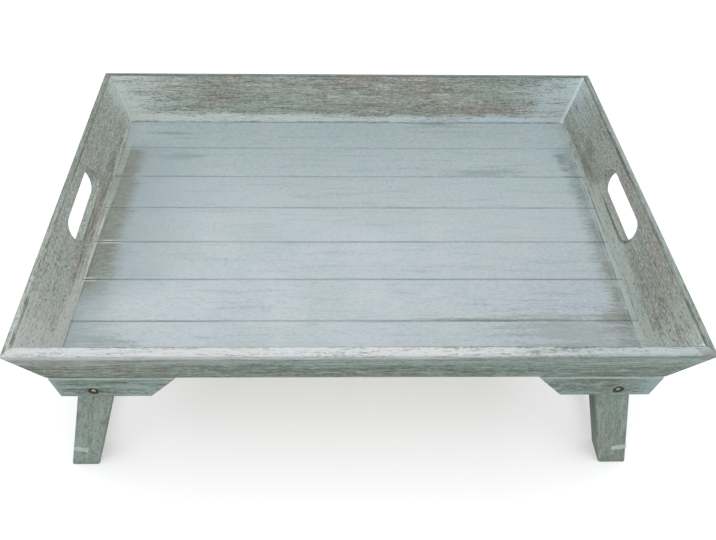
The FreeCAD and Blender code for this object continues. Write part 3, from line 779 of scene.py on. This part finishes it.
def leg_finish(name, board, side):
    """Grey-green leg with upright grain, darker with painted shade on the face to the middle, and stained
    under its screw.
    """
    material, net, shader, place, normal = new_finish(name)
    sockets = {"Vector": place, "Angle": math.pi / 2 + side * LEG_LEAN}
    grain_place = net.add("VectorRotate", sockets, rotation_type="Y_AXIS").outputs[0]
    x, _, z = net.split(place)
    out = net.less(net.size(x), PIVOT_X)
    up = net.less(z, PIVOT_Z)
    aside = net.sum(net.product(out, math.cos(LEG_LEAN)), net.product(up, math.sin(LEG_LEAN)))
    half_width = net.math("MULTIPLY_ADD", z, LEG_TAPER, LEG_FOOT_HALF)
    from_edge = net.less(half_width, net.size(aside))
    fuzz = net.noise(grain_place, (0.03, 0.004, 0.004), 3.0, 0.6)
    worn = net.rise(net.sum(from_edge, net.sway(fuzz, 0.009)), 0.0045, 0.0005)
    tones = dict(LEG_TONES, Paint=net.tint(worn, LEG_TONES["Paint"], WORN_EDGE))
    cover = net.span(worn, LEG_COVER[side], LEG_EDGE_COVER)
    colour = limed_surface(net, shader, grain_place, board, cover, LEG_GRAIN, tones)
    drip = net.product((net.size(out), 0.004, 0.001), (z, PIVOT_Z - 0.022, PIVOT_Z - 0.008), 0.45)
    colour = net.tint(drip, colour, RUST)
    # Painted shade: the face toward the middle made darker, more so higher up under the bracket.
    inner = net.rise(net.product(net.split(normal)[0], -side), 0.5, 0.9)
    shade = net.product(inner, net.ramp(z, 0.02, 0.13, 0.35, 0.85))
    colour = net.tint(shade, colour, LEG_PAINTED_SHADE)
    foot = net.product((z, 0.012, 0.0), 0.3)
    colour = net.tint(foot, colour, BARE_BROWN)
    net.join(colour, shader["Base Color"])
    return material


STRETCHER_COVER = 0.55
STRETCHER_END_COVER = 0.95
STRETCHER_GRAIN = (0.8, 0.8)


def stretcher_finish(name, board):
    """Pale washed slat, with its grain along Y."""
    material, net, shader, place, normal = new_finish(name)
    x, y, z = net.split(place)
    tones = dict(OUTER_TONES, Paint=STRETCHER_PAINT)
    end = net.rise(net.size(net.split(normal)[1]), 0.5, 0.8)
    cover = net.span(end, STRETCHER_COVER, STRETCHER_END_COVER)
    colour = limed_surface(net, shader, net.combine(y, x, z), board, cover, STRETCHER_GRAIN, tones)
    net.join(colour, shader["Base Color"])
    return material


# Metal finishes

STEEL_BRIGHT = tone(214, 208, 190)
STEEL_DULL = tone(160, 152, 130)
SCREW_BLACK = tone(30, 31, 25)
SCREW_GREY = tone(70, 67, 52)
SCREW_PAINTED_GLINT = tone(226, 224, 204)
METAL_RELIEF = 0.00003


def metal_surface(net, shader, colour, patch, roughness):
    """Metal whose roughness and relief follow its patches."""
    net.join(colour, shader["Base Color"])
    net.join(net.span(patch, *roughness), shader["Roughness"])
    shader["Metallic"].default_value = 1.0
    set_relief(net, shader, patch, METAL_RELIEF)


def steel_finish():
    """Plated steel with a patchy, slightly tarnished surface."""
    material, net, shader, place, _ = new_finish("plated_steel")
    patch = net.noise(place, (0.0016, 0.0016, 0.0016), 3.0, 0.6)
    colour = net.tint(net.rise(patch, 0.35, 0.7), STEEL_DULL, STEEL_BRIGHT)
    metal_surface(net, shader, colour, patch, (0.48, 0.26))
    return material


def screw_finish():
    """Blackened steel, with a painted highlight: a bright patch in the middle of the recess."""
    material, net, shader, place, _ = new_finish("blackened_screw")
    patch = net.noise(place, (0.0008, 0.0008, 0.0008), 3.0, 0.6)
    from_axis = net.sum(pivot_distance(net, place), net.sway(patch, 0.0006))
    black = net.tint(net.rise(patch, 0.4, 0.7), SCREW_BLACK, SCREW_GREY)
    # Painted highlight: bright metal in the middle of the cross recess.
    colour = net.tint(net.rise(from_axis, 0.0019, 0.0009), black, SCREW_PAINTED_GLINT)
    metal_surface(net, shader, colour, patch, (0.5, 0.28))
    return material


# Fasteners, built about their own axis with +Z outward

SHARP_ANGLE = math.radians(35)


def polar(radius, angle, height):
    """A place at an angle and distance about the axis."""
    return Vector((radius * math.cos(angle), radius * math.sin(angle), height))


def skin(build, rows, place, closed=False):
    """Faces over rings of places, each as long as the last; a closed skin comes back to its first ring."""
    rings = [[build.verts.new(place @ point) for point in row] for row in rows]
    pairs = list(zip(rings, rings[1:]))
    if closed:
        pairs.append((rings[-1], rings[0]))
    for low, high in pairs:
        for index in range(len(low)):
            after = (index + 1) % len(low)
            build.faces.new((low[index], low[after], high[after], high[index]))
    if not closed:
        build.faces.new(rings[0])
        build.faces.new(rings[-1])


def at_pivot(side, end, y):
    """Turns a piece's own axes to a pivot, with its +Z away from the tray's middle."""
    across, up, away = Vector((-end, 0, 0)), Vector((0, 0, 1)), Vector((0, end, 0))
    turn = Matrix((across, up, away)).transposed().to_4x4()
    return Matrix.Translation((side * PIVOT_X, end * y, PIVOT_Z)) @ turn


PIVOTS = [(side, end) for side in (-1, 1) for end in (-1, 1)]


def finish_piece(name, build, material, replaced):
    """Turn built faces into a piece on the tray that stands for a node."""
    bmesh.ops.recalc_face_normals(build, faces=build.faces)
    mesh = bpy.data.meshes.new(name)
    build.to_mesh(mesh)
    build.free()
    mesh.materials.append(material)
    mesh.polygons.foreach_set("use_smooth", [True] * len(mesh.polygons))
    mesh.set_sharp_from_angle(angle=SHARP_ANGLE)
    piece = bpy.data.objects.new(name, mesh)
    bpy.context.scene.collection.objects.link(piece)
    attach(piece, "tray")
    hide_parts(replaced)


HEAD_RADIUS = 0.0037
HEAD_DOME = 0.0002
CONE_DEPTH = 0.0022
BOLT_RADIUS = 0.002
BOLT_TAIL = 0.0058
THREAD_PITCH = 0.0007
THREAD_DEPTH = 0.00028
THREAD_LENGTH = 0.0098
THREAD_STEPS = 5
# Rings of the head: inset and height at its eased edge, then shares of its radius on the dome
HEAD_EDGE = ((0.0001, -0.0003), (0.0, -0.00015), (0.0001, 0.0))
DOME_SHARES = (0.9, 0.78, 0.66)
RECESS_REACH = 0.0023
RECESS_HALF = 0.00055
RECESS_DEPTH = 0.0016
RECESS_EDGE_SHARE = 0.25
RECESS_CORE = RECESS_HALF * math.sqrt(2)
RECESS_RINGS = (RECESS_REACH, 0.0018, 0.0013, 0.0009, RECESS_CORE * 1.001, RECESS_HALF, 0.0002)
WING_SHARES = (-1.0, -0.7, 0.0, 0.7, 1.0)
FLANK_SHARES = (0.33, 0.67)


def recess_angles(radius):
    """Angles of a ring's places that follow the four wings of the cross recess, and which are in a wing."""
    edge = math.asin(min(RECESS_HALF / radius, math.sqrt(0.5)))
    angles = []
    for wing in range(4):
        middle = wing * math.pi / 2
        angles += [(middle + edge * share, abs(share) < 1) for share in WING_SHARES]
        gap = math.pi / 2 - 2 * edge
        angles += [(middle + edge + gap * share, False) for share in FLANK_SHARES]
    return angles


def recess_ring(radius, lift, sunk=0.0):
    """A ring on the screw's head, whose places in the wings are sunk."""
    core = radius <= RECESS_CORE
    return [polar(radius, angle, lift - (sunk if in_wing or core else 0.0))
            for angle, in_wing in recess_angles(radius)]


def thread_rows(angles, length):
    """Rings of a screw's thread, which fades out at both ends."""
    rows = []
    count = round(THREAD_LENGTH / THREAD_PITCH * THREAD_STEPS)
    for step in range(count + 1):
        height = step * THREAD_LENGTH / count
        fade = min(1.0, height / THREAD_PITCH, (THREAD_LENGTH - height) / THREAD_PITCH)
        row = []
        for angle in angles:
            phase = (height / THREAD_PITCH - angle / (2 * math.pi)) % 1.0
            radius = BOLT_RADIUS - THREAD_DEPTH * (1 - abs(2 * phase - 1) * fade)
            row.append(polar(radius, angle, height - length))
        rows.append(row)
    return rows


def screw_rows(length):
    """Rings of a countersunk screw from its threaded tail to the middle of its head."""
    angles = [angle for angle, _ in recess_angles(HEAD_RADIUS)]
    rows = thread_rows(angles, length)
    rings = [(BOLT_RADIUS, THREAD_LENGTH + THREAD_PITCH - length), (BOLT_RADIUS, -CONE_DEPTH)]
    rings += [(HEAD_RADIUS - inset, height) for inset, height in HEAD_EDGE]
    for radius, height in rings:
        rows.append([polar(radius, angle, height) for angle in angles])
    for share in DOME_SHARES:
        rows.append(recess_ring(HEAD_RADIUS * share, HEAD_DOME * (1 - share * share)))
    for radius in RECESS_RINGS:
        share = radius / HEAD_RADIUS
        sunk = RECESS_DEPTH * (RECESS_EDGE_SHARE + (1 - RECESS_EDGE_SHARE) * (1 - radius / RECESS_REACH))
        rows.append(recess_ring(radius, HEAD_DOME * (1 - share * share), sunk))
    return rows


def build_screws():
    build = bmesh.new()
    rows = screw_rows(HEAD_Y - NUT_Y + BOLT_TAIL)
    for side, end in PIVOTS:
        skin(build, rows, at_pivot(side, end, HEAD_Y))
    finish_piece("pivot_screws", build, screw_finish(), "pivot_bolts")


NUT_HALF = 0.0035
NUT_FACE = 0.0033
NUT_HEIGHT = 0.0032
NUT_BORE = 0.00205
NUT_EASE = (0.0, 0.0001, 0.0002, 0.0003, 0.00045)
NUT_SEGMENTS = 72
NUT_TURN = math.radians(15)
NUT_EASE_SLOPE = math.sqrt(3)
# Rings of the collar and the bore: radius and depth
COLLAR_RINGS = ((0.0031, 0.0033), (0.0031, 0.0044), (0.003, 0.0047), (0.00285, 0.0048), (0.0027, 0.00475),
                (0.00265, 0.0045), (0.0024, 0.0044), (NUT_BORE, 0.0044), (NUT_BORE, 0.0))


def nut_radius(angle, depth):
    """How far a nut reaches at an angle and depth, with its six corners eased at both ends."""
    corner = (angle - NUT_TURN) % (math.pi / 3) - math.pi / 6
    nearest = min(depth, NUT_HEIGHT - depth)
    return min(NUT_HALF / math.cos(corner), NUT_FACE + nearest * NUT_EASE_SLOPE)


def nut_rows():
    """Rings of a lock nut from its face, over its hexagon and collar and back through its bore."""
    angles = [2 * math.pi * index / NUT_SEGMENTS for index in range(NUT_SEGMENTS)]
    depths = list(NUT_EASE) + [NUT_HEIGHT - depth for depth in reversed(NUT_EASE)]
    rows = [[polar(nut_radius(angle, depth), angle, -depth) for angle in angles] for depth in depths]
    for radius, depth in COLLAR_RINGS:
        rows.append([polar(radius, angle, -depth) for angle in angles])
    return rows


def build_nuts(material):
    build = bmesh.new()
    for side, end in PIVOTS:
        skin(build, nut_rows(), at_pivot(side, end, NUT_Y), closed=True)
    finish_piece("lock_nut_set", build, material, "lock_nuts")


STAPLE_REACH = 0.0039
STAPLE_LENGTH = 0.008
STAPLE_BEND = 0.0009
STAPLE_DEPTH = 0.00045
STAPLE_HALF_WIDTH = 0.0004
STAPLE_HALF_HEIGHT = 0.00055
STAPLE_PITCH = 0.06
STAPLE_STEPS = (-2, -1, 0, 1, 2)
STAPLE_INSET = 0.0018
STAPLE_BEND_STEPS = 6
STAPLE_SECTION = 12
STAPLE_SQUARING = 0.6


def staple_path():
    """Middle line of a staple's wire from point to point, with the turn of its section at each place."""
    path = [(-STAPLE_REACH, STAPLE_LENGTH, 0.0)]
    for step in range(STAPLE_BEND_STEPS + 1):
        turn = step * math.pi / 2 / STAPLE_BEND_STEPS
        path.append((-STAPLE_REACH + STAPLE_BEND * (1 - math.cos(turn)),
                     STAPLE_DEPTH + STAPLE_BEND * (1 - math.sin(turn)), turn))
    return path + [(-across, depth, math.pi - turn) for across, depth, turn in reversed(path)]


def squared(share):
    """A sine or cosine that stays near its ends, so that a round section turns squarish."""
    return math.copysign(abs(share) ** STAPLE_SQUARING, share)


def staple_rows():
    """Rings of a staple's squarish wire along its path."""
    rows = []
    for across, depth, turn in staple_path():
        row = []
        for index in range(STAPLE_SECTION):
            angle = 2 * math.pi * index / STAPLE_SECTION
            bulge = squared(math.cos(angle)) * STAPLE_HALF_HEIGHT
            width = squared(math.sin(angle)) * STAPLE_HALF_WIDTH
            row.append(Vector((across - bulge * math.cos(turn), width, depth - bulge * math.sin(turn))))
        rows.append(row)
    return rows


def build_staples(material):
    build = bmesh.new()
    rows = staple_rows()
    quarter = Matrix.Rotation(math.pi / 2, 4, "Z")
    for step in STAPLE_STEPS:
        run = step * STAPLE_PITCH
        for side in (-1, 1):
            long_side = Matrix.Translation((run, side * (FLOOR_Y - STAPLE_INSET), UNDER_Z))
            short_side = Matrix.Translation((side * (FLOOR_X - STAPLE_INSET), run, UNDER_Z)) @ quarter
            skin(build, rows, long_side)
            skin(build, rows, short_side)
    finish_piece("floor_staple_set", build, material, "floor_staples")


# Dress the nodes

def coat(node_name, material):
    slots = nodes[node_name].data.materials
    slots.clear()
    slots.append(material)


BEVEL_ANGLE = math.radians(40)
SLAT_EASE = 0.0006
WASHER_EASE = 0.0002


def soften(node_name, reach):
    """Ease a node's sharp edges."""
    bevel = nodes[node_name].modifiers.new("eased_edges", "BEVEL")
    bevel.width = reach
    bevel.segments = 2
    bevel.limit_method = "ANGLE"
    bevel.angle_limit = BEVEL_ANGLE


# Each wall with the axis that it faces along and the side on which it stands
WALLS = (("front_wall", 1, -1), ("back_wall", 1, 1), ("left_wall", 0, -1), ("right_wall", 0, 1))
CORNERS = ("front_left", "front_right", "back_left", "back_right")
# How much paint washes a bracket's outer and inner ends, and how much rust has run down from its screw
BRACKET_LOOKS = {"front_left": (0.5, 0.5, 0.6), "front_right": (0.8, 0.15, 0.1),
                 "back_left": (0.15, 0.15, 0.15), "back_right": (0.15, 0.15, 0.15)}
for number, (wall, axis, sign) in enumerate(WALLS, start=1):
    coat(wall, wall_finish(f"{wall}_wash", number, axis, sign, WALL_LOOKS[wall]))
coat("floor_panel", floor_finish())
for number, corner in enumerate(CORNERS, start=5):
    coat(f"bracket_{corner}", bracket_finish(f"bracket_wash_{corner}", number, *BRACKET_LOOKS[corner]))
for number, corner in enumerate(CORNERS, start=9):
    coat(f"leg_{corner}", leg_finish(f"leg_wash_{corner}", number, -1 if corner.endswith("left") else 1))
for number, side in enumerate(("left", "right"), start=13):
    coat(f"stretcher_{side}", stretcher_finish(f"stretcher_wash_{side}", number))
    soften(f"stretcher_{side}", SLAT_EASE)
plated = steel_finish()
for node_name in ("spacer_washers", "nut_washers", "corner_brads"):
    coat(node_name, plated)
for node_name in ("spacer_washers", "nut_washers"):
    soften(node_name, WASHER_EASE)
build_screws()
build_nuts(plated)
build_staples(plated)


# Studio

FOCAL_PIXELS = 677.4
IMAGE_WIDTH = 716
SENSOR_MM = 36.0
PHOTO_MIDDLE_X = 331.5
CAMERA_PLACE = Vector((-0.02889, -0.43917, 0.60902))
CAMERA_RIGHT = Vector((0.99987, -0.01086, 0.01247))
CAMERA_AHEAD = Vector((0.01654, 0.66046, -0.75069))
PAPER_REACH = 6.0
PAPER = tone(202, 202, 201)
PAPER_ROUGHNESS = 0.9
PAPER_GLOW = 0.38
LIGHT_SIZE = (2.4, 2.0)
LIGHT_WATTS = 36.0
LIGHT_PLACE = (0.0, -0.45, 1.9)
SURROUND = (0.93, 0.96, 1.0, 1.0)
SURROUND_STRENGTH = 0.78


def aim_camera():
    """A camera with the photograph's lens, place and turn."""
    data = bpy.data.cameras.new("camera")
    data.sensor_width = SENSOR_MM
    data.lens = FOCAL_PIXELS / IMAGE_WIDTH * SENSOR_MM
    data.shift_x = 0.5 - PHOTO_MIDDLE_X / IMAGE_WIDTH
    camera = bpy.data.objects.new("camera", data)
    bpy.context.scene.collection.objects.link(camera)
    back = -CAMERA_AHEAD.normalized()
    up = back.cross(CAMERA_RIGHT).normalized()
    right = up.cross(back)
    turn = Matrix((right, up, back)).transposed().to_4x4()
    camera.matrix_world = Matrix.Translation(CAMERA_PLACE) @ turn
    bpy.context.scene.camera = camera


def lay_floor():
    """A wide sheet of plain pale paper under the feet, with a faint glow."""
    mesh = bpy.data.meshes.new("studio_floor")
    corners = [(x * PAPER_REACH, y * PAPER_REACH, 0) for x, y in ((-1, -1), (1, -1), (1, 1), (-1, 1))]
    mesh.from_pydata(corners, [], [(0, 1, 2, 3)])
    floor = bpy.data.objects.new("studio_floor", mesh)
    bpy.context.scene.collection.objects.link(floor)
    material, _, shader, _, _ = new_finish("studio_paper")
    shader["Base Color"].default_value = PAPER
    shader["Roughness"].default_value = PAPER_ROUGHNESS
    shader["Emission Color"].default_value = (1.0, 1.0, 1.0, 1.0)
    shader["Emission Strength"].default_value = PAPER_GLOW
    mesh.materials.append(material)


def light_studio():
    """A wide soft light above the tray and an even pale surround."""
    data = bpy.data.lights.new("overhead", "AREA")
    data.shape = "RECTANGLE"
    data.size, data.size_y = LIGHT_SIZE
    data.energy = LIGHT_WATTS
    light = bpy.data.objects.new("overhead", data)
    light.location = LIGHT_PLACE
    bpy.context.scene.collection.objects.link(light)
    world = bpy.data.worlds.new("surround")
    world.use_nodes = True
    surround = world.node_tree.nodes["Background"].inputs
    surround["Color"].default_value = SURROUND
    surround["Strength"].default_value = SURROUND_STRENGTH
    bpy.context.scene.world = world
    bpy.context.scene.view_settings.view_transform = "Standard"


aim_camera()
lay_floor()
light_studio()
